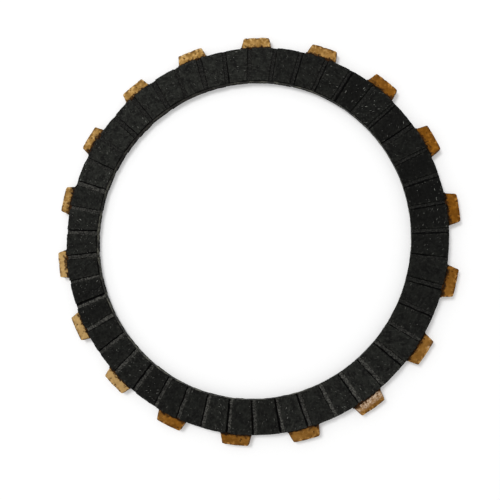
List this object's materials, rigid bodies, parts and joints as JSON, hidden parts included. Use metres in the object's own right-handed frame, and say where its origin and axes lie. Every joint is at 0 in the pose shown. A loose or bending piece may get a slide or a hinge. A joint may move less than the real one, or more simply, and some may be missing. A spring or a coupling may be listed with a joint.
{
  "type": "clutch disc",
  "caption": "Wet-clutch friction plate: a flat cast ring with outer drive tabs, with dark friction segments bonded to both faces between narrow oil grooves.",
  "frame": {"origin": "on the plate's axis, in the plane of the lower friction face", "axes": "+Z is the plate's axis, out of the upper face; one drive tab is centred on +Y"},
  "size_m": [0.149, 0.15, 0.0037],
  "materials": {
    "core": "gold-coated die casting, worn on the tabs",
    "friction": "matt fibrous friction material with pale specks"
  },
  "bodies": {
    "root": {"core_plate": "core", "front_pad_01": "friction", "front_pad_02": "friction", "front_pad_03": "friction", "front_pad_04": "friction", "front_pad_05": "friction", "front_pad_06": "friction", "front_pad_07": "friction", "front_pad_08": "friction", "front_pad_09": "friction", "front_pad_10": "friction", "front_pad_11": "friction", "front_pad_12": "friction", "front_pad_13": "friction", "front_pad_14": "friction", "front_pad_15": "friction", "front_pad_16": "friction", "front_pad_17": "friction", "front_pad_18": "friction", "front_pad_19": "friction", "front_pad_20": "friction", "front_pad_21": "friction", "front_pad_22": "friction", "front_pad_23": "friction", "front_pad_24": "friction", "front_pad_25": "friction", "front_pad_26": "friction", "front_pad_27": "friction", "front_pad_28": "friction", "front_pad_29": "friction", "front_pad_30": "friction", "front_pad_31": "friction", "front_pad_32": "friction", "front_pad_33": "friction", "front_pad_34": "friction", "front_pad_35": "friction", "front_pad_36": "friction", "front_pad_37": "friction", "front_pad_38": "friction", "front_pad_39": "friction", "front_pad_40": "friction", "front_pad_41": "friction", "front_pad_42": "friction", "front_pad_43": "friction", "front_pad_44": "friction", "front_pad_45": "friction", "rear_pads_1": "friction", "rear_pads_2": "friction", "rear_pads_3": "friction", "rear_pads_4": "friction", "rear_pads_5": "friction", "rear_pads_6": "friction", "rear_pads_7": "friction", "rear_pads_8": "friction", "rear_pads_9": "friction"}
  },
  "joints": []
}
